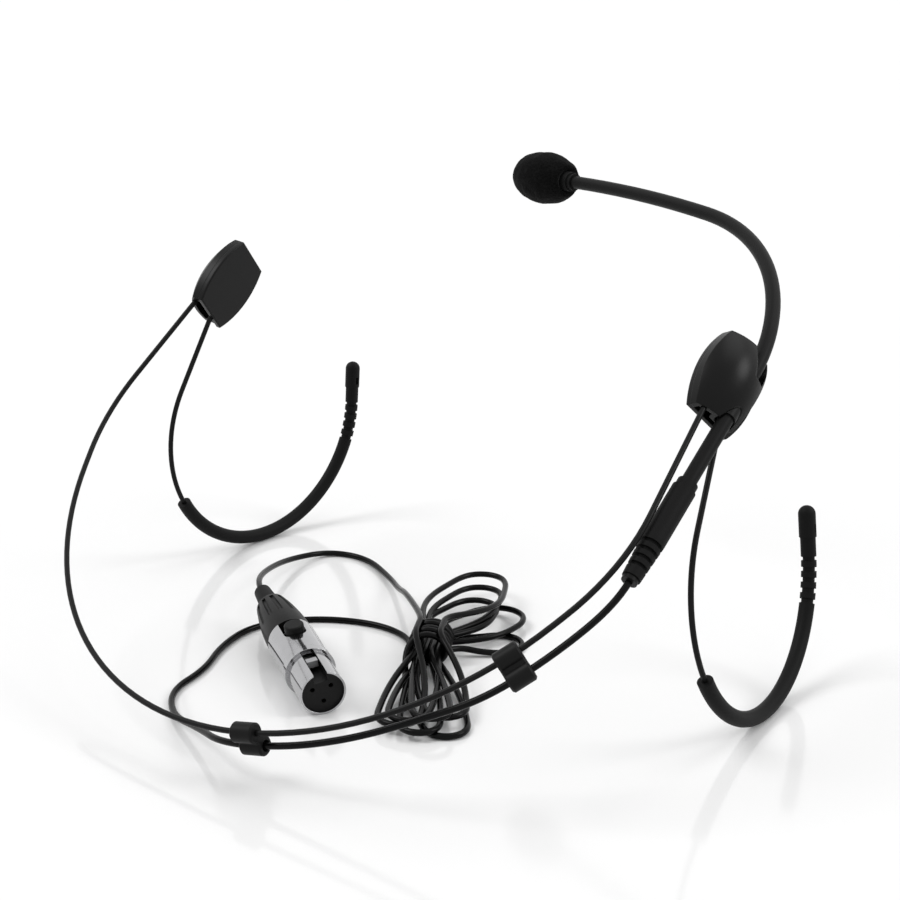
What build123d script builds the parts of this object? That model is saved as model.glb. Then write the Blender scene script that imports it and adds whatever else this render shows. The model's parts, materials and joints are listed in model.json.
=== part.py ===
from build123d import *
import os
from math import cos, degrees, pi, radians, sin, sqrt, tan

# A stage headset microphone: a sprung neckband with an ear hook and a hub on each side, a bent boom with
# its capsule and windscreen, and a thin lead with a three-pole plug. It stands on its ear hooks and its
# cable, with the plug and the tied cable lying on the floor inside the neckband. Sizes are in millimetres
# and angles in degrees. X runs from the left hub to the boom's hub, Y is forward and Z is up.

# Driving sizes of the wires, the cable and the boom
wire_diameter = 1.1
cable_diameter = 1.3
boom_diameter = 2.9
boom_tube_wall = 0.5
core_wall = 0.4

# Clearances
cut_over = 1.0
quarter_turn = 90.0
fixed_gap = 0.02
running_gap = 0.05
open_gap = 0.3

# Place of the whole headset: where the middle of its floor outline lies from the point between the hubs
centre_across = 2.4
centre_forward = -8.6

# Ear pieces: place of each hub from the middle, and how the hub's plane is turned
right_hub_across = 63.5
right_hub_forward = 1.8
right_turns = (-10.0, 21.9, 6.7)
left_hub_across = 66.1
left_hub_forward = -4.5
left_turns = (-6.1, 7.2, 6.1)

# Ear hooks: the wire leaves the hub straight and then bends round the ear, each bent a little its own way
right_hook_heading = -130.0
right_hook_twist = -21.9
right_hook_run = 19.8
right_hook_radius = 25.9
right_hook_turn = 211.8
right_sleeve_turn = 63.9
left_hook_heading = -123.6
left_hook_twist = -8.6
left_hook_run = 17.4
left_hook_radius = 28.3
left_hook_turn = 207.4
left_sleeve_turn = 57.6
hook_tip_length = 10.1
sleeve_diameter = 3.1
sleeve_tip_diameter = 3.5
sleeve_tip_length = 6.4
groove_count = 5
groove_depth = 0.35
groove_width = 0.9
groove_pitch = 2.15
groove_lead_length = 0.7
tip_slot_width = 0.7
tip_slot_length = 1.8
wire_inset = 5.2

# Hubs, with X along the hub towards its top end and Y towards the nape side
right_hub_angle = 34.1
left_hub_angle = 34.1
hub_length = 17.2
hub_end_width = 10.4
hub_belly_width = 14.4
plate_thickness = 1.2
plate_round = 0.35
cover_wall = 1.0
cover_height = 5.7
cover_arch_radius = 8.4
cover_length_radius = 19.0
flange_cut_offset = 2.7
channel_skew = -4.7
channel_offset = -1.8
channel_mouth_gap = 0.7
bush_wall = 0.3
bush_start = -7.5
bush_length = 9.5
drain_hole_diameter = 1.2
drain_hole_depth = 0.8
clamp_start = 4.2
clamp_length = 3.0
clamp_half_width = 1.0
right_neck_end_across = 3.3
right_neck_end_inset = 5.0
left_neck_end_across = 3.3
left_neck_end_inset = 5.0
neck_end_height = 1.7
right_hook_exit_across = -2.4
left_hook_exit_across = -2.4

# Neckband: an arc round the nape in a sloping plane
nape_radius = 70.3
nape_forward = -81.3
nape_height = 8.6
nape_arc_count = 3
nape_half_angle = 65.7
side_run = 14.9
side_radius = 41.8

# Boom: arcs after the hub, each with a radius and a turn
boom_lead_out = 2.5
boom_first_radius = 42.8
boom_first_turn = 16.9
boom_bend_radius = 54.6
boom_bend_turn = 52.0
boom_last_radius = 319.5
boom_last_turn = 8.2
boom_dip = 9.8

# Junction sleeve on the boom's tail, with places measured back from the hub's middle
junction_start = 23.4
junction_length = 22.0
junction_diameter = 4.5
junction_neck_diameter = 3.9
junction_neck_length = 1.6
junction_relief_length = 8.4
junction_end_diameter = 3.5
junction_tube_depth = 8.0
junction_groove_count = 4
junction_groove_width = 0.75
junction_groove_depth = 0.45
junction_groove_start_share = 0.7
junction_hole_diameter = 0.8
junction_hole_places = [3.2, 9.4]
splice_diameter = 2.6
ferrule_diameter = 2.4
ferrule_flange_diameter = 3.0
ferrule_length = 6.0
ferrule_flange_length = 0.8

# Capsule end
ring_diameter = 3.8
ring_length = 1.0
collar_diameter = 4.5
collar_length = 2.8
capsule_diameter = 4.8
capsule_length = 8.4
capsule_wall = 0.35
element_length = 3.0
grille_thickness = 0.4
grille_hole_diameter = 0.7
grille_ring_diameter = 2.3
grille_hole_count = 6
windscreen_length = 17.4
windscreen_diameter = 11.9
windscreen_mouth_diameter = 6.4

# Clips that hold the cable to the neckband
clip_length = 4.8
clip_lobe_diameter = 3.8
clip_spacing = 3.8
clip_web = 2.2
clip_round = 0.35
clip_bore_gap = 0.45
clip_1_angle = 16.3
clip_1_swing = 86.0
clip_2_angle = 58.1
clip_2_swing = 38.0

# Cable: straight past the ferrule, and how far each arc may reach along the shorter run at its corner
exit_run = 5.0
corner_share = 0.45
hank_height = 5.6
hank_edge = 1.5

# Plug, with its axis from the shoulder ring to the nose
plug_across = 1.9
plug_forward = -46.2
plug_heading = -28.2
plug_dip = 3.5
plug_roll = 8.0
nose_diameter = 9.1
nose_length = 9.0
nose_wall = 0.35
shoulder_diameter = 10.3
shoulder_length = 1.8
barrel_diameter = 9.9
barrel_length = 12.2
insert_recess = 0.7
key_width = 2.7
key_floor = 2.0
contact_circle_radius = 2.05
contact_diameter = 1.5
contact_bore_diameter = 0.95
contact_tail_length = 2.4
pole_angles = [25.0, 155.0, 270.0]
backshell_length = 15.8
backshell_front_diameter = 9.7
backshell_rear_diameter = 6.6
backshell_bore_diameter = 5.6
backshell_spigot_length = 3.0
flute_count = 12
flute_length = 9.0
flute_width = 0.9
flute_depth = 0.35
boot_length = 8.4
boot_tail_diameter = 3.6
boot_root_diameter = 4.6
boot_flange_diameter = 5.2
boot_flange_length = 1.6
boot_tail_chamfer = 0.45
chuck_diameter = 4.4
chuck_length = 7.0
chuck_slot_width = 0.6
latch_button_diameter = 4.0
latch_button_height = 1.35
latch_button_place = 9.2
latch_bar_width = 2.2
latch_bar_thickness = 0.5
latch_bar_height = 3.25
latch_hook_length = 1.4
latch_hook_place = 3.4
latch_hook_rise = 0.95
latch_edge_round = 0.35
latch_travel = 0.7
spring_thickness = 0.15
spring_length = 5.0
spring_width = 1.8

# Sizes that follow from the driving ones
wire_radius = wire_diameter / 2
cable_radius = cable_diameter / 2
boom_radius = boom_diameter / 2
sleeve_radius = sleeve_diameter / 2
bush_radius = boom_radius + running_gap + bush_wall
channel_bore_radius = bush_radius + fixed_gap
wire_room = wire_diameter + 2 * running_gap
channel_height = wire_room + channel_bore_radius
junction_end = junction_start + junction_length
cable_exit_place = junction_end + ferrule_flange_length + running_gap


class Ear:
    """One ear piece: the plane its hub lies in and the plane its hook is bent in."""

    def __init__(self, hub, turns, hook, wires, mirrored):
        across, forward, self.angle = hub
        self.neck_across, neck_inset, self.hook_across = wires
        self.neck_end = (-hub_length / 2 + neck_inset, self.neck_across, neck_end_height)
        yaw, lean, pitch = (radians(turn) for turn in turns)
        heading, twist, self.run, self.radius, self.turn, self.sleeve_turn = hook
        self.mirrored = mirrored
        outward = Vector(cos(yaw) * cos(lean), sin(yaw) * cos(lean), sin(lean))
        level = Vector(-sin(yaw), cos(yaw), 0)
        ahead = level * cos(pitch) + outward.cross(level) * sin(pitch)
        self.plane = Plane(origin=(across, forward, 0), x_dir=ahead, z_dir=outward)
        self.exit = self.hub_spot(-hub_length / 2, self.hook_across, wire_radius)
        heading, twist = radians(heading), radians(twist)
        self.heading = (cos(heading), sin(heading), 0)
        self.normal = (sin(heading) * sin(twist), -cos(heading) * sin(twist), cos(twist))
        hook_plane = self.hook_frame()
        lowest = hook_plane.from_local_coords((self.run, self.radius, 0)).Z
        lowest -= self.radius * sqrt(1 - hook_plane.z_dir.Z ** 2)
        self.plane = Plane(origin=(across, forward, sleeve_radius - lowest), x_dir=ahead, z_dir=outward)
        self.hook_plane = self.hook_frame()

    def hub_spot(self, along, across, height):
        """A point of the hub, in the hub plane's axes."""
        turn = radians(self.angle)
        return (along * cos(turn) - across * sin(turn), along * sin(turn) + across * cos(turn), height)

    def hook_frame(self):
        """The hook's plane: X along its straight run from the hub and Y towards the bend's centre."""
        origin = self.plane.from_local_coords(self.exit)
        away = self.plane.from_local_coords(Vector(*self.exit) + Vector(*self.heading)) - origin
        normal = self.plane.from_local_coords(Vector(*self.exit) + Vector(*self.normal)) - origin
        return Plane(origin=origin, x_dir=away, z_dir=normal)

    def settle(self, shape):
        """Moves a shape from the headset's middle to the part's frame, on its own side."""
        if self.mirrored:
            shape = mirror(shape, about=Plane.YZ)
        return Pos(-centre_across, -centre_forward, 0) * shape

    def place(self, shape):
        """Moves a shape from the hub's plane to the part's frame."""
        return self.settle(self.plane.location * shape)

    def place_hub(self, shape):
        """Moves a shape from the hub's own axes to the part's frame."""
        return self.place(Rot(0, 0, self.angle) * shape)

    def place_hook(self, shape):
        """Moves a shape from the hook's plane to the part's frame."""
        return self.settle(self.hook_plane.location * shape)

    def hub_point(self, along, across, height):
        """A point of the hub, in the part's frame."""
        point = self.plane.from_local_coords(self.hub_spot(along, across, height))
        if self.mirrored:
            point = Vector(-point.X, point.Y, point.Z)
        return point - Vector(centre_across, centre_forward, 0)


right_hook = (right_hook_heading, right_hook_twist, right_hook_run, right_hook_radius, right_hook_turn)
left_hook = (left_hook_heading, left_hook_twist, left_hook_run, left_hook_radius, left_hook_turn)
right_hub = (right_hub_across, right_hub_forward, right_hub_angle)
left_hub = (left_hub_across, left_hub_forward, left_hub_angle)
right_wires = (right_neck_end_across, right_neck_end_inset, right_hook_exit_across)
left_wires = (left_neck_end_across, left_neck_end_inset, left_hook_exit_across)
right = Ear(right_hub, right_turns, (*right_hook, right_sleeve_turn), right_wires, False)
left = Ear(left_hub, left_turns, (*left_hook, left_sleeve_turn), left_wires, True)
ears = {"right": right, "left": left}


def rod(path, radius, bore=0.0):
    """A round bar or tube of one radius along a path."""
    section = Circle(radius)
    if bore:
        section = section - Circle(bore)
    face = Plane(origin=path @ 0, z_dir=path % 0) * section
    return sweep(face, path=path)


# Hubs


def hub_outline(grow=0.0):
    """Barrel outline of the hub: straight ends and two bowed sides."""
    half = hub_length / 2 + grow
    end = hub_end_width / 2 + grow
    belly = hub_belly_width / 2 + grow
    edges = Line((half, -end), (half, end))
    edges += ThreePointArc((half, end), (0, belly), (-half, end))
    edges += Line((-half, end), (-half, -end))
    edges += ThreePointArc((-half, -end), (0, -belly), (half, -end))
    return make_face(edges)


def crown(height):
    """The double-curved block that a cover's top follows, highest at the hub's middle."""
    half = hub_belly_width / 2 + cut_over
    drop = cover_arch_radius - sqrt(cover_arch_radius ** 2 - half ** 2)
    base = -2 * plate_thickness
    edges = ThreePointArc((-half, height - drop), (0, height), (half, height - drop))
    edges += Polyline((half, height - drop), (half, base), (-half, base), (-half, height - drop))
    profile = Plane.YZ * make_face(edges)
    return revolve(profile, axis=Axis((0, 0, height - cover_length_radius), (0, 1, 0)))


def upright_bar(radius, length):
    """A round bar standing on its plane."""
    return Cylinder(radius, length, align=(Align.CENTER, Align.CENTER, Align.MIN))


def hanging_bar(radius, length):
    """A round bar reaching back from its plane."""
    return Cylinder(radius, length, align=(Align.CENTER, Align.CENTER, Align.MAX))


def channel_location():
    """The boom channel's axis in the hub: Z forward along it, from abreast of the hub's middle."""
    skew = radians(channel_skew)
    return Plane(origin=(0, channel_offset, channel_height), z_dir=(cos(skew), sin(skew), 0)).location


def channel_bar(radius, length):
    """A round bar on the boom's channel axis, centred on the hub's middle."""
    return channel_location() * Cylinder(radius, length)


def hub_plate():
    plate = extrude(hub_outline(), amount=-plate_thickness)
    return fillet(plate.faces().sort_by(Axis.Z)[0].edges(), plate_round)


def nape_side(face, inset):
    """The part of a flat shape that lies on the nape's side of the flange's edge."""
    keep = Rectangle(2 * hub_length, 2 * hub_belly_width, align=(Align.CENTER, Align.MIN))
    keep = Rot(0, 0, channel_skew) * Pos(0, inset - flange_cut_offset) * keep
    return face & Pos(0, channel_offset) * keep


def hub_room(ear, gap):
    """The space under the cover, open at the lower end where the wires come in, less a gap."""
    over = 2 * hub_length
    inset = cover_wall + gap
    face = hub_outline(-inset) - Rectangle(hub_length, hub_belly_width, align=(Align.MIN, Align.CENTER))
    mouth = Rectangle(hub_length / 2 + cut_over, hub_end_width - 2 * inset, align=(Align.MAX, Align.CENTER))
    room = extrude(nape_side(face + mouth, inset), amount=cover_height) & crown(cover_height - inset)
    if ear is right:
        above = Box(over, over, over, align=(Align.CENTER, Align.CENTER, Align.MIN))
        room -= channel_bar(channel_bore_radius + inset, over) & Pos(0, 0, wire_room - gap) * above
    return room


def hub_cover(ear):
    over = 2 * hub_length
    cover = extrude(nape_side(hub_outline(), 0), amount=cover_height) & crown(cover_height)
    cover -= hub_room(ear, 0)
    if ear is right:
        cover -= channel_bar(channel_bore_radius, over)
        mouth = upright_bar(channel_bore_radius + channel_mouth_gap, over)
        cover -= channel_location() * Pos(0, 0, bush_start + bush_length + running_gap) * mouth
    else:
        hole = Cylinder(drain_hole_diameter / 2, 2 * drain_hole_depth)
        hole_place = (-hub_length / 2, hub_end_width / 2 - cover_wall, channel_height)
        cover -= Plane(origin=hole_place, z_dir=(1, 0, 0)).location * hole
    return cover


def straight_bar(start, end, radius):
    """A round bar between two points."""
    start, end = Vector(start), Vector(end)
    length = (end - start).length
    return Plane(origin=start, z_dir=end - start).location * upright_bar(radius, length)


# Ear hooks, in the hook's plane


def hook_spot(ear, turn):
    """A point of the hook's bend after a turn."""
    angle = radians(turn)
    return Vector(ear.run + ear.radius * sin(angle), ear.radius - ear.radius * cos(angle))


def hook_after(ear, length):
    """A point on the straight tip, a length past the bend's end."""
    angle = radians(ear.turn)
    return hook_spot(ear, ear.turn) + Vector(cos(angle), sin(angle)) * length


def hook_arc(ear, start_turn):
    return ThreePointArc(
        hook_spot(ear, start_turn), hook_spot(ear, (start_turn + ear.turn) / 2), hook_spot(ear, ear.turn)
    )


def hook_wire(ear):
    path = Line((-wire_inset, 0), (ear.run, 0)) + hook_arc(ear, 0)
    path += Line(hook_spot(ear, ear.turn), hook_after(ear, hook_tip_length - sleeve_tip_length))
    return rod(Wire(path.edges()), wire_radius)


def hook_sleeve(ear):
    tip_start = hook_tip_length - sleeve_tip_length
    path = hook_arc(ear, ear.sleeve_turn) + Line(hook_spot(ear, ear.turn), hook_after(ear, tip_start))
    tip_radius = sleeve_tip_diameter / 2
    straight = hook_tip_length - tip_radius
    body = rod(Wire(path.edges()), sleeve_radius)
    body += straight_bar(hook_after(ear, tip_start), hook_after(ear, straight), tip_radius)
    body += Pos(hook_after(ear, straight)) * Sphere(tip_radius)
    body -= rod(Wire(path.edges()), wire_radius + fixed_gap)
    ring = Circle(sleeve_radius + cut_over) - Circle(sleeve_radius - groove_depth)
    for index in range(groove_count):
        turn = ear.turn - degrees((groove_lead_length + index * groove_pitch) / ear.radius)
        ahead = Vector(cos(radians(turn)), sin(radians(turn)))
        place = Plane(origin=hook_spot(ear, turn), z_dir=ahead)
        body -= extrude(place * ring, amount=groove_width / 2, both=True)
    slot = Box(tip_slot_length, tip_slot_width, 2 * sleeve_tip_diameter)
    body -= Pos(hook_after(ear, tip_start + tip_slot_length)) * Rot(0, 0, ear.turn) * slot
    return body


# Neckband


def neck_slope():
    """The neckband's plane: its origin between the hubs, X across and Y down the slope to the nape."""
    ends = [right.hub_point(*right.neck_end), left.hub_point(*left.neck_end)]
    middle = (ends[0] + ends[1]) / 2
    middle.X = -centre_across
    nape = Vector(-centre_across, nape_forward - centre_forward, nape_height)
    drop = nape - middle
    return Plane(origin=middle, x_dir=(1, 0, 0), z_dir=Vector(1, 0, 0).cross(drop)), drop.length


neck_plane, neck_drop = neck_slope()
nape_centre_place = neck_drop - nape_radius


def neck_point(angle, radius=nape_radius, lift=0.0):
    """A point round the nape's arc, from the rearmost point towards the right."""
    across = radius * sin(radians(angle))
    down = nape_centre_place + radius * cos(radians(angle))
    return neck_plane.from_local_coords((across, down, lift))


def side_corner(side):
    """The corner between the nape's arc and the straight run up to a hub, on one side."""
    tangent = neck_tangent(side * nape_half_angle) * side
    return neck_point(side * nape_half_angle) + tangent * side_run


def neck_tangent(angle):
    """The direction along the nape's arc, towards the right."""
    origin = neck_plane.from_local_coords((0, 0, 0))
    return neck_plane.from_local_coords((cos(radians(angle)), -sin(radians(angle)), 0)) - origin


def neck_path():
    arc = 2 * nape_half_angle / nape_arc_count
    corner_radius = nape_radius / cos(radians(arc / 2))
    angles = [nape_half_angle - arc * (index + 1 / 2) for index in range(nape_arc_count)]
    corners = [neck_point(angle, corner_radius) for angle in angles]
    points = [side_corner(1), *corners, side_corner(-1)]
    radii = [side_radius] + [nape_radius - fixed_gap] * nape_arc_count + [side_radius]
    ends = (right.hub_point(*right.neck_end), left.hub_point(*left.neck_end))
    return FilletPolyline(ends[0], *points, ends[1], radius=radii)


neckband_path = neck_path()


def neck_end_bar(ear, radius):
    """The straight end of the neckband's wire at one hub, for the cuts that let it in."""
    inner = ear.hub_point(*ear.neck_end)
    reach = (side_corner(-1 if ear.mirrored else 1) - inner).normalized() * hub_length
    return straight_bar(inner, inner + reach, radius)


def hook_end_bar(radius):
    """The straight start of the hook's wire inside the hub, in the hook's plane."""
    return straight_bar((-wire_inset, 0, 0), (wire_inset, 0, 0), radius)


def wire_clamp(ear):
    """The moulded block that holds both wires' ends in the hub."""
    start = -hub_length / 2 + clamp_start
    neck_side = ear.neck_across + clamp_half_width
    hook_side = ear.hook_across - clamp_half_width
    corner = (Align.CENTER, Align.MIN, Align.MIN)
    low = Box(clamp_length, neck_side - hook_side, wire_room - running_gap, align=corner)
    high = Box(clamp_length, 2 * clamp_half_width, neck_end_height + wire_diameter, align=corner)
    block = Pos(start, hook_side, 0) * low + Pos(start, neck_side - 2 * clamp_half_width, 0) * high
    block = ear.place_hub(block & hub_room(ear, fixed_gap))
    block -= ear.place_hook(hook_end_bar(wire_radius + fixed_gap))
    block -= neck_end_bar(ear, wire_radius + fixed_gap)
    return block


# Boom


def channel_point(place):
    """A point on the channel's axis, forward of the hub's middle."""
    skew = radians(channel_skew)
    return right.hub_point(place * cos(skew), channel_offset + place * sin(skew), channel_height)


channel_axis = (channel_point(cut_over) - channel_point(0)).normalized()


def boom_frame():
    """The plane that the boom bends in: X along the channel and Y inward."""
    dip = radians(boom_dip)
    normal = channel_axis.cross(Vector(-cos(dip), 0, -sin(dip))).normalized()
    return Plane(origin=channel_point(boom_lead_out), x_dir=channel_axis, z_dir=normal)


boom_plane = boom_frame()


def boom_edges(tail_place):
    """The boom's centre line from a place on its tail to the capsule."""
    start = boom_plane.to_local_coords(channel_point(tail_place))
    edges = Line((start.X, 0), (0, 0))
    place, heading = Vector(0, 0), 0.0
    bends = ((boom_first_radius, boom_first_turn), (boom_bend_radius, boom_bend_turn),
             (boom_last_radius, boom_last_turn))
    for radius, turn in bends:
        tangent = (cos(radians(heading)), sin(radians(heading)))
        bend = JernArc(start=(place.X, place.Y), tangent=tangent, radius=radius, arc_size=turn)
        edges += bend
        place = bend @ 1
        heading += turn
    return boom_plane * edges


boom_line = Wire(boom_edges(-junction_start - junction_tube_depth).edges())
capsule_plane = Plane(origin=boom_line @ 1, z_dir=boom_line % 1)
junction_plane = Plane(origin=channel_point(-junction_start), z_dir=-channel_axis)


def boom_layer(outer, inner):
    return rod(boom_line, outer, inner)


def revolved(points, plane):
    """A turned piece: points are radius and place along the plane's Z axis."""
    profile = Plane.XZ * make_face(Polyline(*points, close=True))
    return plane.location * revolve(profile, axis=Axis.Z)


def junction_sleeve():
    outer = junction_diameter / 2
    neck = junction_neck_diameter / 2
    end = junction_end_diameter / 2
    relief = junction_length - junction_relief_length
    body = revolved(
        [(0, 0), (neck, 0), (neck, junction_neck_length), (outer, junction_neck_length),
         (outer, relief), (end, junction_length), (0, junction_length)], junction_plane)
    tube_room = Cylinder(boom_radius + fixed_gap, 2 * junction_tube_depth)
    body -= junction_plane.location * tube_room
    splice_room = hanging_bar(splice_diameter / 2 + fixed_gap, junction_length)
    ferrule_front = junction_length - ferrule_length + ferrule_flange_length
    body -= junction_plane.location * Pos(0, 0, ferrule_front) * splice_room
    ferrule_room = Cylinder(ferrule_diameter / 2 + running_gap, 2 * junction_length)
    body -= junction_plane.location * Pos(0, 0, junction_length) * ferrule_room
    pitch = junction_relief_length / (junction_groove_count + 1)
    for index in range(junction_groove_count):
        place = relief + pitch * (index + junction_groove_start_share)
        radius = outer + (end - outer) * (place - relief) / junction_relief_length
        ring = Circle(outer + cut_over) - Circle(radius - junction_groove_depth)
        groove = extrude(ring, amount=junction_groove_width / 2, both=True)
        body -= junction_plane.location * Pos(0, 0, place) * groove
    for place in junction_hole_places:
        hole = upright_bar(junction_hole_diameter / 2, junction_diameter)
        body -= junction_plane.location * Pos(0, 0, place) * Rot(0, 90, 0) * Pos(0, 0, boom_radius) * hole
    return body


def junction_splice():
    start = junction_tube_depth
    end = junction_length - ferrule_length + ferrule_flange_length
    length = end - start - running_gap
    return junction_plane.location * Pos(0, 0, start) * upright_bar(splice_diameter / 2, length)


def swivel_ferrule():
    shank = ferrule_diameter / 2
    flange = ferrule_flange_diameter / 2
    step = junction_length + running_gap
    front = junction_length - ferrule_length + ferrule_flange_length + running_gap
    return revolved(
        [(0, front), (shank, front), (shank, step), (flange, step),
         (flange, step + ferrule_flange_length), (0, step + ferrule_flange_length)], junction_plane)


# Capsule end


def capsule_collar():
    ring, collar = ring_diameter / 2, collar_diameter / 2
    end = ring_length + collar_length
    profile = [(0, 0), (ring, 0), (ring, ring_length), (collar, ring_length), (collar, end), (0, end)]
    return revolved(profile, capsule_plane)


capsule_start = ring_length + collar_length
capsule_end = capsule_start + capsule_length


def capsule_housing():
    outer = capsule_diameter / 2
    inner = outer - capsule_wall
    mouth = inner - capsule_wall
    front = capsule_end - capsule_wall
    floor = capsule_start + capsule_wall
    return revolved(
        [(0, capsule_start), (outer, capsule_start), (outer, capsule_end), (mouth, capsule_end),
         (mouth, front), (inner, front), (inner, floor), (0, floor)], capsule_plane)


def capsule_grille():
    radius = capsule_diameter / 2 - capsule_wall - fixed_gap
    disc = Cylinder(radius, grille_thickness)
    disc -= Cylinder(grille_hole_diameter / 2, 2 * grille_thickness)
    for spot in PolarLocations(grille_ring_diameter / 2, grille_hole_count):
        disc -= spot * Cylinder(grille_hole_diameter / 2, 2 * grille_thickness)
    place = capsule_end - capsule_wall - grille_thickness / 2
    return capsule_plane.location * Pos(0, 0, place) * disc


def capsule_element():
    radius = capsule_diameter / 2 - capsule_wall - fixed_gap
    place = capsule_end - capsule_wall - grille_thickness
    return capsule_plane.location * Pos(0, 0, place) * hanging_bar(radius, element_length)


def windscreen():
    half = windscreen_length / 2
    wide = windscreen_diameter / 2
    mouth = windscreen_mouth_diameter / 2
    mouth_place = -half * sqrt(1 - (mouth / wide) ** 2)
    arc = EllipticalCenterArc((0, 0), wide, half, start_angle=-quarter_turn, arc_size=2 * quarter_turn)
    face = make_face(arc + Line((0, half), (0, -half)))
    body = revolve(Plane.XZ * face, axis=Axis.Z)
    bore = upright_bar(capsule_diameter / 2 + running_gap, capsule_length + open_gap)
    body -= Pos(0, 0, mouth_place) * (hanging_bar(wide, half) + bore)
    return capsule_plane.location * Pos(0, 0, capsule_start - mouth_place) * body


# Clips

clip_lift = -1.0 if neck_plane.z_dir.Z > 0 else 1.0


def clip_cable_point(angle, swing):
    """Where the cable passes a clip; the swing turns from outward in the neckband's plane to below it."""
    out = clip_spacing * cos(radians(swing))
    below = clip_spacing * sin(radians(swing))
    return neck_point(angle, nape_radius + out, clip_lift * below)


def cable_clip(angle, swing):
    """Two short tubes side by side on a web, one for the neckband's wire and one for the cable."""
    wire_place = neck_point(angle)
    cable_place = clip_cable_point(angle, swing)
    plane = Plane(origin=wire_place, x_dir=cable_place - wire_place, z_dir=neck_tangent(angle))
    lobe = Circle(clip_lobe_diameter / 2)
    web = Rectangle(clip_spacing, clip_web, align=(Align.MIN, Align.CENTER))
    body = extrude(lobe + Pos(clip_spacing, 0) * lobe + web, amount=clip_length / 2, both=True)
    ends = body.faces().sort_by(Axis.Z)
    body = plane.location * chamfer(ends[0].edges() + ends[-1].edges(), clip_round)
    middle = neck_plane.from_local_coords((0, nape_centre_place, 0))
    wire = Torus(nape_radius, wire_radius + running_gap)
    body -= Plane(origin=middle, z_dir=neck_plane.z_dir).location * wire
    reach = neck_tangent(angle) * clip_length
    return body - straight_bar(cable_place - reach, cable_place + reach, cable_radius + clip_bore_gap)


# Plug, built with Z towards the nose and Y up, from the front of the shoulder ring


def plug_place():
    heading, dip, roll = radians(plug_heading), radians(plug_dip), radians(plug_roll)
    nose = Vector(cos(heading) * cos(dip), sin(heading) * cos(dip), -sin(dip))
    side = nose.cross(Vector(0, 0, 1)).normalized()
    upright = side.cross(nose)
    rolled = side * cos(roll) - upright * sin(roll)
    height = shoulder_diameter / 2 * cos(dip)
    origin = (plug_across - centre_across, plug_forward - centre_forward, height)
    return Plane(origin=origin, x_dir=rolled * -1, z_dir=nose)


plug_plane = plug_place()


def turned(points):
    """A turned plug piece, in the plug's own axes."""
    return revolve(Plane.XZ * make_face(Polyline(*points, close=True)), axis=Axis.Z)


def key_block(width, floor, start, end):
    """A block over the plug's top, from a floor height outward."""
    block = Box(width, shoulder_diameter, end - start, align=(Align.CENTER, Align.MIN, Align.MIN))
    return Pos(0, floor, start) * block


nose_radius = nose_diameter / 2
nose_bore = nose_radius - nose_wall
barrel_radius = barrel_diameter / 2
barrel_bore = barrel_radius - 2 * nose_wall
shell_rear = -shoulder_length - barrel_length
button_hole_radius = latch_button_diameter / 2 + open_gap


def plug_shell():
    ring = shoulder_diameter / 2
    body = turned([(nose_bore, nose_length), (nose_radius, nose_length), (nose_radius, 0), (ring, 0),
                   (ring, -shoulder_length), (barrel_radius, -shoulder_length), (barrel_radius, shell_rear),
                   (barrel_bore, shell_rear), (barrel_bore, -shoulder_length), (nose_bore, -shoulder_length)])
    body -= key_block(key_width, 0, 0, nose_length + cut_over)
    hole = upright_bar(button_hole_radius, shoulder_diameter)
    body -= Pos(0, 0, -latch_button_place) * Rot(-90, 0, 0) * hole
    body -= key_block(2 * button_hole_radius, 0, shell_rear - cut_over, -latch_button_place)
    return body


insert_rear = shell_rear + backshell_spigot_length + running_gap


def pole_place(angle):
    """Where one of the plug's poles stands on their circle."""
    turn = radians(angle)
    return Pos(contact_circle_radius * cos(turn), contact_circle_radius * sin(turn), 0)


def plug_insert():
    radius = nose_bore - fixed_gap
    front = nose_length - insert_recess
    skirt = barrel_bore - fixed_gap
    body = turned([(0, front), (radius, front), (radius, -shoulder_length), (skirt, -shoulder_length),
                   (skirt, insert_rear), (0, insert_rear)])
    body -= key_block(key_width, key_floor, insert_rear - cut_over, front + cut_over)
    pocket = upright_bar(button_hole_radius, shoulder_diameter)
    body -= Pos(0, key_floor, -latch_button_place) * Rot(-90, 0, 0) * pocket
    for angle in pole_angles:
        body -= pole_place(angle) * Cylinder(contact_bore_diameter / 2, 4 * nose_length)
        room = hanging_bar(contact_diameter / 2 + fixed_gap, 4 * nose_length)
        body -= pole_place(angle) * Pos(0, 0, front - contact_bore_diameter) * room
    return body


def plug_contacts():
    front = nose_length - insert_recess - contact_bore_diameter - running_gap
    rear = insert_rear - contact_tail_length
    pins = []
    for angle in pole_angles:
        pin = turned([(0, rear), (contact_diameter / 2, rear), (contact_diameter / 2, front),
                      (contact_bore_diameter / 2, front), (contact_bore_diameter / 2, 0), (0, 0)])
        pins.append(pole_place(angle) * pin)
    return Compound(pins)


backshell_rear = shell_rear - backshell_length


def backshell_radius(place):
    """The backshell's outer radius at a place behind its front edge."""
    share = (shell_rear - place) / backshell_length
    front, rear = backshell_front_diameter / 2, backshell_rear_diameter / 2
    return front - (front - rear) * share ** 2


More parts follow.
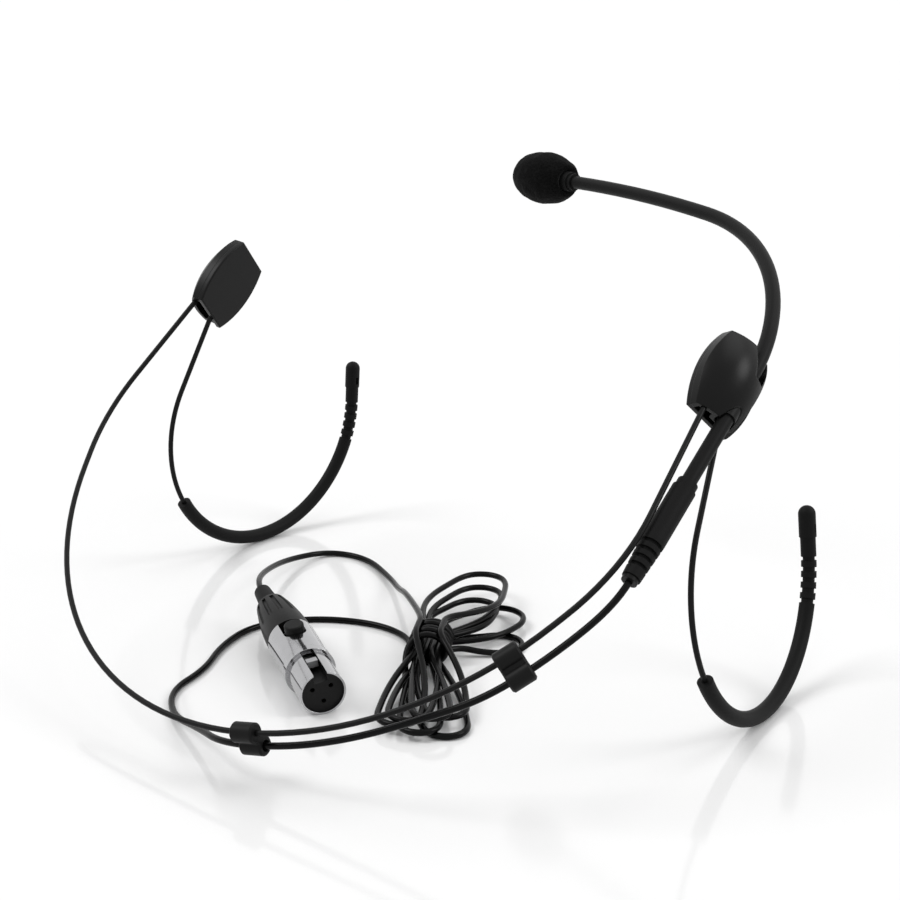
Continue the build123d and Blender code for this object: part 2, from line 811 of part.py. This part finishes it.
def plug_backshell():
    bore = backshell_bore_diameter / 2
    throat = boot_root_diameter / 2 + fixed_gap
    spigot = barrel_bore - fixed_gap
    front, rear = backshell_front_diameter / 2, backshell_rear_diameter / 2
    middle = (shell_rear + backshell_rear) / 2
    throat_place = backshell_rear + boot_flange_length
    spigot_front = shell_rear + backshell_spigot_length
    profile = Polyline(
        (rear, backshell_rear), (throat, backshell_rear), (throat, throat_place), (bore, throat_place),
        (bore, spigot_front), (spigot, spigot_front), (spigot, shell_rear), (front, shell_rear))
    profile += ThreePointArc((front, shell_rear), (backshell_radius(middle), middle), (rear, backshell_rear))
    body = revolve(Plane.XZ * make_face(profile), axis=Axis.Z)
    body -= key_block(2 * button_hole_radius, 0, shell_rear, spigot_front + cut_over)
    start = backshell_rear + flute_width
    for spot in PolarLocations(0, flute_count):
        near = backshell_radius(start) - flute_depth + flute_width / 2
        far = backshell_radius(start + flute_length) - flute_depth + flute_width / 2
        flute = straight_bar((near, 0, start), (far, 0, start + flute_length), flute_width / 2)
        body -= spot * flute
    return body


def plug_boot():
    tail, root, flange = boot_tail_diameter / 2, boot_root_diameter / 2, boot_flange_diameter / 2
    inside = backshell_rear + boot_flange_length
    end = backshell_rear - boot_length
    return turned([(0, end), (tail - boot_tail_chamfer, end), (tail, end + boot_tail_chamfer),
                   (root, backshell_rear), (root, inside), (flange, inside),
                   (flange, inside + boot_flange_length), (0, inside + boot_flange_length)])


def plug_chuck():
    """The split collet that grips the cable inside the backshell."""
    start = backshell_rear + 2 * boot_flange_length + running_gap
    body = upright_bar(chuck_diameter / 2, chuck_length) - Cylinder(cable_radius, 4 * chuck_length)
    slot = Box(2 * chuck_diameter, chuck_slot_width, chuck_length)
    body -= Pos(0, 0, chuck_length) * slot
    return Pos(0, 0, start) * body


def latch():
    """The latch: a bar in the key groove with its button behind and its hook in front."""
    rear = -latch_button_place - latch_button_diameter / 2
    length = latch_hook_place - rear
    bar = Box(latch_bar_width, latch_bar_thickness, length, align=(Align.CENTER, Align.MAX, Align.MIN))
    body = Pos(0, latch_bar_height, rear) * bar
    rise = barrel_radius - running_gap - latch_bar_height
    stem = Box(latch_bar_width, rise, latch_bar_width, align=(Align.CENTER, Align.MIN, Align.CENTER))
    body += Pos(0, latch_bar_height, -latch_button_place) * stem
    cap = upright_bar(latch_button_diameter / 2, latch_button_height + latch_travel)
    cap = fillet(cap.edges().sort_by(Axis.Z)[-1], latch_edge_round)
    cap_base = barrel_radius - latch_travel
    body += Pos(0, cap_base, -latch_button_place) * Rot(-90, 0, 0) * cap
    upward = (Align.CENTER, Align.MIN, Align.MAX)
    hook = Box(latch_bar_width, latch_hook_rise, latch_hook_length, align=upward)
    body += Pos(0, latch_bar_height, latch_hook_place) * hook
    return body


def latch_spring():
    """The bowed leaf under the latch's bar."""
    top = latch_bar_height - latch_bar_thickness - fixed_gap
    half = spring_length / 2
    upper = key_floor + spring_thickness
    edges = ThreePointArc((-half, upper), (0, top), (half, upper)) + Line((half, upper), (half, key_floor))
    edges += ThreePointArc((half, key_floor), (0, top - spring_thickness), (-half, key_floor))
    edges += Line((-half, key_floor), (-half, upper))
    leaf = extrude(Plane.ZY * make_face(edges), amount=spring_width / 2, both=True)
    return Pos(0, 0, -latch_button_place / 2) * leaf


# Cable


# The routes and the hank's outline were chosen by hand, measured from the point between the hubs
lead_beside_band = [
    (63.6, 3.3, 2.3),
    (52.6, 3.3, 2.4),
    (43.0, 1.0, 3.1),
    (32.5, 0.6, 3.5),
    (21.8, 0.6, 3.8),
    (10.8, 0.6, 3.8),
]
lead_on_floor = [
    (1.0, -74.2, 3.2),
    (-10.5, -71.0, 0.65),
    (-19.5, -64.0, 0.65),
    (-22.0, -53.0, 0.65),
    (-28.5, -43.0, 0.65),
    (-31.5, -31.5, 0.65),
    (-25.0, -20.0, 0.65),
    (-13.5, -13.2, 0.65),
    (-3.5, -13.2, 0.65),
]
tail_on_floor = [
    (-44.0, -16.0, 5.6),
    (-51.5, -2.0, 2.2),
    (-51.0, 10.5, 0.65),
    (-41.0, 13.5, 0.65),
    (-28.0, 6.5, 0.65),
    (-19.0, -6.0, 0.65),
    (-9.0, -6.0, 0.65),
]
hank_outline = [
    (-9.0, -3.5), (-12.5, 3.0), (-13.7, 10.4), (-11.5, 16.5), (-3.7, 17.7), (4.7, 12.9), (12.9, 6.4),
    (16.4, 1.9), (19.2, -4.4), (17.0, -9.7), (12.4, -13.8), (14.4, -20.7), (23.1, -25.9), (29.9, -32.1),
    (33.1, -36.6), (35.7, -43.0), (32.3, -46.1), (28.8, -49.2), (23.0, -48.5), (17.3, -43.4), (12.1, -35.8),
    (7.6, -26.7), (3.0, -19.5), (-3.5, -15.7), (-3.5, -10.7), (-9.0, -8.5),
]


def cable_tube(points, name):
    """A plain cable stretch: straight runs joined by arcs as large as the runs allow."""
    radii = []
    for before, corner, after in zip(points, points[1:], points[2:]):
        into, out = corner - before, after - corner
        turn = radians(into.get_angle(out))
        radii.append(corner_share * min(into.length, out.length) / tan(turn / 2))
    path = FilletPolyline(*points, radius=radii)
    tube = rod(path, cable_radius)
    volume_share = tube.volume / (pi * cable_radius ** 2 * path.length)
    print(name, "length", round(path.length, 1), "volume share", round(volume_share, 4))
    print("  radii", [round(radius, 1) for radius in radii])
    print("  points", [tuple(round(value, 2) for value in point) for point in points])
    return tube


def settled(points):
    """Points measured from between the hubs, in the part's frame."""
    return [Vector(*point) - Vector(centre_across, centre_forward, 0) for point in points]


def cable_lead():
    start = channel_point(-cable_exit_place)
    beside = [neck_point(turn, nape_radius + out, clip_lift * below) for turn, out, below in lead_beside_band]
    points = [start, start - channel_axis * exit_run, *beside, *settled(lead_on_floor)]
    return cable_tube(points, "cable_lead")


def cable_tail():
    start = plug_plane.from_local_coords((0, 0, backshell_rear - boot_length))
    return cable_tube([start, start - plug_plane.z_dir * exit_run, *settled(tail_on_floor)], "cable_tail")


def cable_hank():
    """The tied hank's outer shape."""
    block = extrude(make_face(Polyline(*settled(hank_outline), close=True)), amount=hank_height)
    return chamfer(block.faces().sort_by(Axis.Z)[-1].edges(), hank_edge)


def build():
    nodes = {}
    nodes["neckband_wire"] = rod(Wire(neckband_path.edges()), wire_radius)
    for side, ear in ears.items():
        cover = ear.place_hub(hub_cover(ear))
        cover -= ear.place_hook(hook_end_bar(wire_radius + running_gap))
        cover -= neck_end_bar(ear, wire_radius + running_gap)
        nodes["hub_plate_" + side] = ear.place_hub(hub_plate())
        nodes["hub_cover_" + side] = cover
        nodes["wire_clamp_" + side] = wire_clamp(ear)
        nodes["hook_wire_" + side] = ear.place_hook(hook_wire(ear))
        nodes["ear_sleeve_" + side] = ear.place_hook(hook_sleeve(ear))
    bush = upright_bar(bush_radius, bush_length) - Cylinder(boom_radius + running_gap, 4 * bush_length)
    nodes["boom_bush"] = right.place_hub(channel_location() * Pos(0, 0, bush_start) * bush)
    nodes["boom_tube"] = boom_layer(boom_radius, boom_radius - boom_tube_wall)
    core_radius = boom_radius - boom_tube_wall - fixed_gap
    nodes["boom_core"] = boom_layer(core_radius, core_radius - core_wall)
    nodes["boom_lead"] = boom_layer(core_radius - core_wall - fixed_gap, 0.0)
    nodes["junction_sleeve"] = junction_sleeve()
    nodes["junction_splice"] = junction_splice()
    nodes["swivel_ferrule"] = swivel_ferrule()
    nodes["capsule_collar"] = capsule_collar()
    nodes["capsule_housing"] = capsule_housing()
    nodes["capsule_element"] = capsule_element()
    nodes["capsule_grille"] = capsule_grille()
    nodes["windscreen"] = windscreen()
    nodes["cable_clip_1"] = cable_clip(clip_1_angle, clip_1_swing)
    nodes["cable_clip_2"] = cable_clip(clip_2_angle, clip_2_swing)
    makers = {"plug_shell": plug_shell, "plug_insert": plug_insert, "plug_contacts": plug_contacts,
              "plug_backshell": plug_backshell, "plug_boot": plug_boot, "plug_chuck": plug_chuck,
              "latch_button": latch, "latch_spring": latch_spring}
    for name, maker in makers.items():
        nodes[name] = plug_plane.location * maker()
    nodes["cable_lead"] = cable_lead()
    nodes["cable_hank"] = cable_hank()
    nodes["cable_tail"] = cable_tail()
    return nodes


os.makedirs("parts", exist_ok=True)
print("cable exit", channel_point(-cable_exit_place), "axis", channel_axis)
print("plug tail", plug_plane.from_local_coords((0, 0, backshell_rear - boot_length)))
print("plug nose", plug_plane.from_local_coords((0, 0, nose_length / 2)), plug_plane.z_dir, plug_plane.y_dir)
print("channel", channel_point(0), "ferrule", channel_point(-junction_end))
print("nape centre", neck_plane.from_local_coords((0, nape_centre_place, 0)), neck_plane.z_dir)
print("clip 1", clip_cable_point(clip_1_angle, clip_1_swing), neck_tangent(clip_1_angle))
print("clip 2", clip_cable_point(clip_2_angle, clip_2_swing), neck_tangent(clip_2_angle))
print("boom end", boom_line @ 1, "heading", boom_line % 1, "boom length", boom_line.length)
for ear in (right, left):
    print("hub", ear.hub_point(0, 0, -plate_thickness), ear.hub_point(0, 0, cut_over), ear.hook_plane)
for node_name, node in build().items():
    export_step(node, "parts/" + node_name + ".step")
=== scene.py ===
import json
from math import cos, pi, radians, sin

import bpy
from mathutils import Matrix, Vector, noise


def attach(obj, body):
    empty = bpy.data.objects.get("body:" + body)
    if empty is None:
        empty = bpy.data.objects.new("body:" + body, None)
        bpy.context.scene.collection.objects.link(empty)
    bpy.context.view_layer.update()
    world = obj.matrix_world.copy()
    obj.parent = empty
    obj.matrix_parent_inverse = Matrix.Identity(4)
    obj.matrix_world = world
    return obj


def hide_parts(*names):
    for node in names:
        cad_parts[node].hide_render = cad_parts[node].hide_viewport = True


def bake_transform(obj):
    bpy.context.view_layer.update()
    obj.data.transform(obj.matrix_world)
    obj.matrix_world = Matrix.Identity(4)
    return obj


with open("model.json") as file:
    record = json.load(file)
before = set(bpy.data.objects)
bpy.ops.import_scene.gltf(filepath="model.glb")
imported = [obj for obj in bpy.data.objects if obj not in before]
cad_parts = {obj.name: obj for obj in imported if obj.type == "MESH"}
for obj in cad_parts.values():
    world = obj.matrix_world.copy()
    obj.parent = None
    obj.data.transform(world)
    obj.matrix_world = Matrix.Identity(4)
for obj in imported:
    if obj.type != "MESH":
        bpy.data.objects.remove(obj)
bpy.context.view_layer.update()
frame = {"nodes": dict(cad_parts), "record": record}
nodes = frame["nodes"]
record = frame["record"]
MM = 0.001
white = (1, 1, 1, 1)


def named(rows, name):
    """The row of one of the record's lists that has the given name."""
    return next(row for row in rows if row["name"] == name)


# Camera

lens = 71.8
sensor = 36.0
camera_place = (0.2348, -0.2589, 0.1542)
camera_turn = (72.2, 0.0, 41.9)
camera_reach = 20.0

camera_data = bpy.data.cameras.new("camera")
camera_data.lens = lens
camera_data.sensor_width = sensor
camera_data.clip_end = camera_reach
camera = bpy.data.objects.new("camera", camera_data)
camera.location = camera_place
camera.rotation_euler = [radians(turn) for turn in camera_turn]
bpy.context.collection.objects.link(camera)
bpy.context.scene.camera = camera


# Cable

cable_diameter = 1.3 * MM
curve_steps = 8
round_steps = 5

# The route's points, in mm, as part.py has them
lead_points = [
    (68.08, -27.58, 39.6), (68.47, -31.75, 36.87), (63.52, -41.47, 29.62), (56.07, -50.92, 22.26),
    (46.23, -56.4, 17.18), (35.69, -62.23, 12.21), (23.93, -66.84, 8.3), (10.89, -69.87, 5.98),
    (-1.4, -65.6, 3.2), (-12.9, -62.4, 0.65), (-21.9, -55.4, 0.65), (-24.4, -44.4, 0.65),
    (-30.9, -34.4, 0.65), (-33.9, -22.9, 0.65), (-27.4, -11.4, 0.65), (-15.9, -4.6, 0.65),
    (-5.9, -4.6, 0.65),
]
tail_points = [
    (-15.0, 5.0, 5.0), (-21.4, 9.6, 2.6), (-30.4, 16.1, 1.0), (-43.4, 22.1, 0.65), (-53.4, 19.1, 0.65),
    (-53.9, 6.6, 2.2), (-46.4, -7.4, 5.6), (-38.5, -17.22, 7.78), (-34.1, -19.58, 7.47),
]
# The spline rounds its corner by the first clip, so this point is drawn out to keep the cable in the bore
clip_point = 7
clip_draw = Vector((-0.06, -0.61, 0.04))

# The hank, tied at its waist, in mm: waist_u points to the upper lobe and waist_v to the right of it
waist = Vector((6.0, -10.0, 0.0))
waist_heading = 123.0
waist_reach = 4.2
# The wraps: a flat helix round the waist that sways a little and runs off to the lower lobe at its end
wrap_count = 5
wrap_across = 3.9
wrap_rise = 3.55
wrap_height = 4.2
wrap_pitch = 1.75
wrap_sway = 0.5
wrap_sway_share = 0.5
wrap_points = 12
wrap_start = 280.0
wrap_steps = 58
wrap_leave_steps = 4
wrap_leave = 0.32
# Each side of a loop has these points, and the last one stops this share of a step short of the tip's round
side_points = 4
side_rest = 0.5
# An upper loop that turns further than this from the waist's heading leaves it without a straight stretch
straight_turn = 40.0
tip_points = 5
tip_turn = 75.0

# Each loop: heading and reach from the waist, width and height of its far end, bow of its sides
lower_loops = [
    (-42.0, 35.5, 8.5, 0.7, 1.2), (-51.0, 36.0, 8.0, 1.8, 0.6), (-55.5, 33.5, 8.0, 3.0, 1.0),
    (-47.0, 34.5, 7.5, 4.0, 0.4), (-41.0, 31.0, 8.0, 2.4, 1.6), (-59.0, 34.0, 8.5, 2.2, 1.4),
]
upper_loops = [
    (68.0, 21.0, 9.5, 0.7, 1.2), (94.0, 29.0, 12.0, 1.9, 3.0), (108.0, 28.0, 10.0, 2.9, 2.6),
    (110.0, 33.0, 10.0, 3.9, 3.2), (112.5, 38.5, 11.0, 4.8, 4.0),
]
# Where each strand passes the waist: across it and above the floor. The first loop starts further down
wrap_first_spot = (-4.6, 0.65)
loop_first_spot = (-3.4, 1.5)
loop_first_share = 2.4
right_strands = [(2.1, 2.35), (0.7, 2.35), (2.1, 3.75), (0.7, 3.75), (2.6, 8.3), (-2.4, 8.2)]
left_strands = [(-2.1, 2.35), (-0.7, 2.35), (-2.1, 3.75), (-0.7, 3.75), (-1.4, 5.15)]


def turned(heading):
    """A step of one unit over the floor, by its heading in degrees."""
    return Vector((cos(radians(heading)), sin(radians(heading)), 0))


waist_u = turned(waist_heading)
waist_v = turned(waist_heading - 90)


def strand(spot, along):
    """A point of a strand near the waist: its spot across and above, and how far along."""
    across, height = spot
    return waist + waist_u * along + waist_v * across + Vector((0, 0, height))


def loop(start, end, heading, reach, width, height, bow):
    """Points of one loop from the waist, out along its right side and back along its left."""
    ahead = turned(heading)
    right = turned(heading - 90)
    round_radius = width / 2
    middle = waist + ahead * (reach - round_radius)

    def beside(base, side, index):
        share = (index + 1) / (side_points + side_rest)
        spot = base.lerp(middle + right * (side * round_radius), share)
        spot += right * (side * bow * sin(share * pi))
        spot.z = base.z + (height - base.z) * sin(share * pi / 2)
        return spot

    points = [beside(start, 1, index) for index in range(side_points)]
    for index in range(tip_points):
        turn = heading - tip_turn + 2 * tip_turn * index / (tip_points - 1)
        spot = middle + turned(turn) * round_radius
        points.append(Vector((spot.x, spot.y, height)))
    return points + [beside(end, -1, index) for index in reversed(range(side_points))]


def hank_points():
    """The tied hank: wraps round the waist, then lower and upper loops in turn, and out over the top."""
    points = [strand(wrap_first_spot, wrap_pitch * wrap_count / 2)]
    for index in range(wrap_steps):
        angle = radians(wrap_start + 360 * index / wrap_points)
        along = wrap_pitch * (wrap_count / 2 - index / wrap_points)
        along += wrap_sway * sin(angle * wrap_sway_share)
        along -= wrap_leave * max(0, index + wrap_leave_steps - wrap_steps) ** 2
        points.append(strand((wrap_across * cos(angle), wrap_height + wrap_rise * sin(angle)), along))
    start = strand(loop_first_spot, -loop_first_share * waist_reach)
    for index, lower in enumerate(lower_loops):
        end = strand(right_strands[index], -waist_reach)
        points += [start, *loop(start, end, *lower), end, strand(right_strands[index], 0)]
        if index < len(upper_loops):
            start = strand(right_strands[index], waist_reach)
            end = strand(left_strands[index], waist_reach)
            beyond = loop(start, end, *upper_loops[index])
            if abs(upper_loops[index][0] - waist_heading) < straight_turn:
                beyond = [start, *beyond, end]
            points += [*beyond, strand(left_strands[index], 0)]
            start = strand(left_strands[index], -waist_reach)
    points.append(strand(right_strands[-1], waist_reach))
    return points


def nurbs(name, points, bevel=0.0):
    """A smooth line with the given control points, in mm."""
    data = bpy.data.curves.new(name, "CURVE")
    data.dimensions = "3D"
    data.resolution_u = curve_steps
    data.bevel_depth = bevel
    data.bevel_resolution = round_steps
    data.use_fill_caps = True
    spline = data.splines.new("NURBS")
    spline.points.add(len(points) - 1)
    for point, place in zip(spline.points, points):
        point.co = (place[0] * MM, place[1] * MM, place[2] * MM, 1)
    spline.order_u = 3
    spline.use_endpoint_u = True
    return bpy.data.objects.new(name, data)


def meshed(curve):
    """The mesh of a curve object, which is then removed."""
    bpy.context.collection.objects.link(curve)
    bpy.context.view_layer.update()
    mesh = bpy.data.meshes.new_from_object(curve.evaluated_get(bpy.context.evaluated_depsgraph_get()))
    bpy.data.objects.remove(curve)
    return mesh


def piece(name, mesh):
    """A smooth-shaded piece of the scene."""
    for polygon in mesh.polygons:
        polygon.use_smooth = True
    obj = bpy.data.objects.new(name, mesh)
    bpy.context.collection.objects.link(obj)
    return obj


route = [*lead_points, *hank_points(), *tail_points]
route[clip_point] = Vector(route[clip_point]) + clip_draw
line = [tuple(vertex.co) for vertex in meshed(nurbs("line", route)).vertices]
cable = piece("cable", meshed(nurbs("cable_tube", route, cable_diameter / 2)))
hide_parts("cable_lead", "cable_hank", "cable_tail")
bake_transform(cable)


# Windscreen, with its places along the boom's heading from the boom's end

boom_end = Vector((-17.3641, 64.9989, 87.0006)) * MM
boom_heading = Vector(named(record["behaviour"]["joints"], "windscreen_pull")["axis"])
screen_start = 2.7 * MM
screen_half = 9.35 * MM
screen_radius = 5.95 * MM
screen_mouth = 3.2 * MM
screen_bore = 2.45 * MM
screen_bore_depth = 8.7 * MM
screen_mouth_angle = radians(32.5)
screen_fullness = 0.86
screen_rows = 72
screen_steps = 96
screen_lump = 0.16 * MM
screen_lump_size = 1.9 * MM
screen_grain = 0.05 * MM
screen_grain_size = 0.5 * MM


def screen_profile():
    """Radius and place along the boom's heading, from inside the bore round the mouth to the nose."""
    mouth_angle = pi - screen_mouth_angle
    middle = screen_start + screen_half * -cos(mouth_angle)
    profile = [(screen_bore, screen_start + screen_bore_depth), (screen_bore, screen_start + screen_mouth),
               (screen_bore, screen_start + screen_lump)]
    for row in range(screen_rows + 1):
        angle = mouth_angle * (1 - row / screen_rows)
        radius = screen_radius * sin(angle) ** screen_fullness if row < screen_rows else 0.0
        profile.append((radius, middle + screen_half * cos(angle)))
    return profile


def foam_screen():
    """The foam as a lumpy, grainy skin round the boom's heading, from inside its bore to its nose."""
    side = boom_heading.cross(Vector((0, 0, 1))).normalized()
    upright = side.cross(boom_heading)
    vertices, faces = [], []
    profile = screen_profile()
    for radius, place in profile:
        for step in range(screen_steps):
            angle = 2 * pi * step / screen_steps
            spoke = side * cos(angle) + upright * sin(angle)
            point = boom_end + boom_heading * place + spoke * radius
            if radius > screen_bore:
                push = screen_lump * noise.noise(point / screen_lump_size)
                push += screen_grain * noise.noise(point / screen_grain_size)
                point += spoke * push
            vertices.append(point)
    for row in range(len(profile) - 1):
        for step in range(screen_steps):
            after = (step + 1) % screen_steps
            here, above = row * screen_steps, (row + 1) * screen_steps
            faces.append((here + step, here + after, above + after, above + step))
    mesh = bpy.data.meshes.new("foam_screen")
    mesh.from_pydata(vertices, [], faces)
    mesh.validate()
    mesh.update()
    return mesh


screen = piece("foam_screen", foam_screen())
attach(screen, "windscreen")
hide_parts("windscreen")


# Materials, with the finishes' sizes in mm

grain_detail = 3.0
grain_roughness = 0.6
smudge_detail = 2.0
smudge_roughness = 0.5
bump_strength = 0.6
sheen_roughness = 0.5
# How dark the painted shade in the foam's pores is, as a share of the low colour
pore_shade_share = 0.25
bevel_samples = 4
steel_tint = (0.42, 0.42, 0.43, 1)

# The middle of the plug's nose, the way it points, and how far behind it the latch's steel bar starts
plug_nose = named(record["mounts"], "plug_nose")
nose_middle = Vector(plug_nose["pos_m"])
plug_heading = Vector(plug_nose["axis"])
latch_bar_back = 9.5 * MM


def add(tree, kind, **sockets):
    """A new shader node, with the values of the sockets that are named."""
    node = tree.nodes.new("ShaderNode" + kind)
    for name, value in sockets.items():
        node.inputs[name.replace("_", " ")].default_value = value
    return node


def texture(tree, kind, size, **sockets):
    """A texture on the object's own coordinates, whose features have the given size."""
    node = add(tree, "Tex" + kind, Scale=1 / (size * MM), **sockets)
    tree.links.new(add(tree, "TexCoord").outputs["Object"], node.inputs["Vector"])
    return node


def mixed(tree, factor, first, second):
    """The socket of the colour between two, each of them given as a colour or a socket."""
    mix = add(tree, "Mix")
    mix.data_type = "RGBA"
    factor_socket, first_socket, second_socket = mix.inputs[0], mix.inputs[6], mix.inputs[7]
    tree.links.new(factor, factor_socket)
    for socket, colour in ((first_socket, first), (second_socket, second)):
        if isinstance(colour, bpy.types.NodeSocket):
            tree.links.new(colour, socket)
        else:
            socket.default_value = colour
    return mix.outputs[2]


def arithmetic(tree, operation, first, second):
    """The socket of a sum's result. Its first value is a socket and its second a socket or a number."""
    node = add(tree, "Math")
    node.operation = operation
    tree.links.new(first, node.inputs[0])
    if isinstance(second, bpy.types.NodeSocket):
        tree.links.new(second, node.inputs[1])
    else:
        node.inputs[1].default_value = second
    return node.outputs[0]


def grey(value):
    return (value, value, value)


def finish_material(name, low, high, rough, grain, height, edge=0.0, metal=0.0, sheen=0.0, specular=0.5,
                    pores=0.0, smudge=12.0):
    """A surface with a speckled colour, uneven roughness, a fine grain and softened edges; pores, where
    given, get a bump and painted shade.
    """
    material = bpy.data.materials.new(name)
    material.use_nodes = True
    tree = material.node_tree
    shader = tree.nodes["Principled BSDF"]
    shader.inputs["Base Color"].default_value = (*high, 1)
    shader.inputs["Metallic"].default_value = metal
    shader.inputs["Roughness"].default_value = sum(rough) / 2
    shader.inputs["Sheen Weight"].default_value = sheen
    shader.inputs["Sheen Roughness"].default_value = sheen_roughness
    shader.inputs["Specular IOR Level"].default_value = specular

    fine = texture(tree, "Noise", grain, Detail=grain_detail, Roughness=grain_roughness).outputs["Fac"]
    colour = mixed(tree, fine, (*low, 1), (*high, 1))
    relief = fine
    if pores:
        cells = texture(tree, "Voronoi", pores).outputs["Distance"]
        relief = arithmetic(tree, "MULTIPLY", cells, fine)
        # The pores' pits get a darker colour: painted shade in the recesses, besides their bump
        painted_pit_shade = (*[value * pore_shade_share for value in low], 1)
        colour = mixed(tree, cells, painted_pit_shade, colour)
    tree.links.new(colour, shader.inputs["Base Color"])

    broad = texture(tree, "Noise", smudge, Detail=smudge_detail, Roughness=smudge_roughness)
    uneven = add(tree, "MapRange", To_Min=rough[0], To_Max=rough[1])
    tree.links.new(broad.outputs["Fac"], uneven.inputs["Value"])
    tree.links.new(uneven.outputs["Result"], shader.inputs["Roughness"])

    bump = add(tree, "Bump", Strength=bump_strength, Distance=height * MM)
    tree.links.new(relief, bump.inputs["Height"])
    if edge:
        soft = add(tree, "Bevel", Radius=edge * MM)
        soft.samples = bevel_samples
        tree.links.new(soft.outputs["Normal"], bump.inputs["Normal"])
    tree.links.new(bump.outputs["Normal"], shader.inputs["Normal"])
    return material


finishes = {
    "coated_wire": dict(
        low=grey(0.003), high=grey(0.007), rough=(0.3, 0.42), grain=0.4, height=0.006, specular=0.12),
    "hub_plastic": dict(
        low=grey(0.002), high=grey(0.004), rough=(0.28, 0.38), grain=0.25, height=0.006, edge=0.3,
        specular=0.14),
    "soft_rubber": dict(
        low=grey(0.003), high=grey(0.006), rough=(0.5, 0.62), grain=0.3, height=0.012, edge=0.12,
        specular=0.1),
    "boom_jacket": dict(
        low=grey(0.003), high=grey(0.006), rough=(0.42, 0.55), grain=0.3, height=0.01, specular=0.1),
    "dark_plastic": dict(
        low=grey(0.003), high=grey(0.007), rough=(0.35, 0.5), grain=0.3, height=0.008, edge=0.1,
        specular=0.12),
    "insert_plastic": dict(
        low=grey(0.003), high=grey(0.008), rough=(0.25, 0.4), grain=0.4, height=0.006, edge=0.08,
        specular=0.15),
    "cable_jacket": dict(
        low=grey(0.0015), high=grey(0.003), rough=(0.16, 0.26), grain=0.5, height=0.005, smudge=20.0,
        specular=0.1),
    "foam": dict(
        low=grey(0.003), high=grey(0.009), rough=(0.85, 0.95), grain=0.35, height=0.18, sheen=0.03,
        specular=0.04, pores=0.5),
    "chrome": dict(
        low=(0.40, 0.40, 0.41), high=(0.48, 0.48, 0.49), rough=(0.06, 0.14), grain=3.0, height=0.001,
        metal=1.0, edge=0.1),
    "steel": dict(
        low=grey(0.4), high=grey(0.55), rough=(0.25, 0.4), grain=0.4, height=0.006, metal=1.0),
    "gilt": dict(
        low=(0.6, 0.42, 0.15), high=(0.75, 0.55, 0.22), rough=(0.15, 0.3), grain=0.6, height=0.004,
        metal=1.0),
}
looks = {name: finish_material(name, **values) for name, values in finishes.items()}
# The finish of each material slot in the record, where the two names differ
slot_finishes = {
    "boom_metal": "steel", "inner_plastic": "dark_plastic", "capsule_black": "dark_plastic",
    "capsule_steel": "steel", "plug_chrome": "chrome", "plug_plastic": "insert_plastic",
    "plug_black": "dark_plastic", "contact_metal": "gilt", "spring_steel": "steel",
}


def latch_look():
    """A black button over a steel bar and hook, parted by the place along the plug's own axis."""
    material = looks["dark_plastic"].copy()
    material.name = "latch"
    tree = material.node_tree
    shader = tree.nodes["Principled BSDF"]
    along = add(tree, "VectorMath")
    along.operation = "DOT_PRODUCT"
    along.inputs[1].default_value = plug_heading
    tree.links.new(add(tree, "TexCoord").outputs["Object"], along.inputs[0])
    bar_start = nose_middle.dot(plug_heading) - latch_bar_back
    ahead = arithmetic(tree, "GREATER_THAN", along.outputs["Value"], bar_start)
    black = shader.inputs["Base Color"].links[0].from_socket
    tree.links.new(mixed(tree, ahead, black, steel_tint), shader.inputs["Base Color"])
    tree.links.new(ahead, shader.inputs["Metallic"])
    return material


def dress(obj, material):
    obj.data.materials.clear()
    obj.data.materials.append(material)


for part in record["subparts"]:
    slot = part["material_slot"]
    dress(nodes[part["node"]], looks[slot_finishes.get(slot, slot)])
dress(nodes["latch_button"], latch_look())
dress(cable, looks["cable_jacket"])
dress(screen, looks["foam"])


# Floor, world and lamps

floor_size = 12.0
floor_colour = (0.92, 0.92, 0.92, 1)
floor_roughness = 0.1
floor_specular = 0.5
ambient = 0.6
# Each lamp: name, the way to it, power, and how many degrees wide it looks
lamps = [
    ("key", (-0.45, -0.4, 0.8), 1.0, 28.0), ("top", (0.15, 0.45, 0.9), 0.4, 36.0),
    ("side", (0.7, 0.5, 0.6), 0.8, 24.0),
]

floor_mesh = bpy.data.meshes.new("floor")
half = floor_size / 2
corners = [(-half, -half, 0), (half, -half, 0), (half, half, 0), (-half, half, 0)]
floor_mesh.from_pydata(corners, [], [(0, 1, 2, 3)])
floor = bpy.data.objects.new("floor", floor_mesh)
bpy.context.collection.objects.link(floor)
floor_look = bpy.data.materials.new("floor")
floor_look.use_nodes = True
floor_shader = floor_look.node_tree.nodes["Principled BSDF"]
floor_shader.inputs["Base Color"].default_value = floor_colour
floor_shader.inputs["Roughness"].default_value = floor_roughness
floor_shader.inputs["Specular IOR Level"].default_value = floor_specular
floor_mesh.materials.append(floor_look)

# The world is white to the camera and in reflections, and dimmer as a light
world = bpy.data.worlds.new("world")
world.use_nodes = True
world_tree = world.node_tree
backdrop = world_tree.nodes["Background"]
backdrop.inputs["Color"].default_value = white
paths = add(world_tree, "LightPath")
strength = paths.outputs["Is Camera Ray"]
for other in (paths.outputs["Is Glossy Ray"], paths.outputs["Is Transmission Ray"], ambient):
    strength = arithmetic(world_tree, "MAXIMUM", strength, other)
world_tree.links.new(strength, backdrop.inputs["Strength"])
bpy.context.scene.world = world

for name, direction, power, spread in lamps:
    data = bpy.data.lights.new(name, "SUN")
    data.energy = power
    data.angle = radians(spread)
    lamp = bpy.data.objects.new(name, data)
    lamp.location = direction
    lamp.rotation_euler = Vector(direction).to_track_quat("Z", "Y").to_euler()
    bpy.context.collection.objects.link(lamp)

bpy.context.scene.view_settings.view_transform = "Standard"
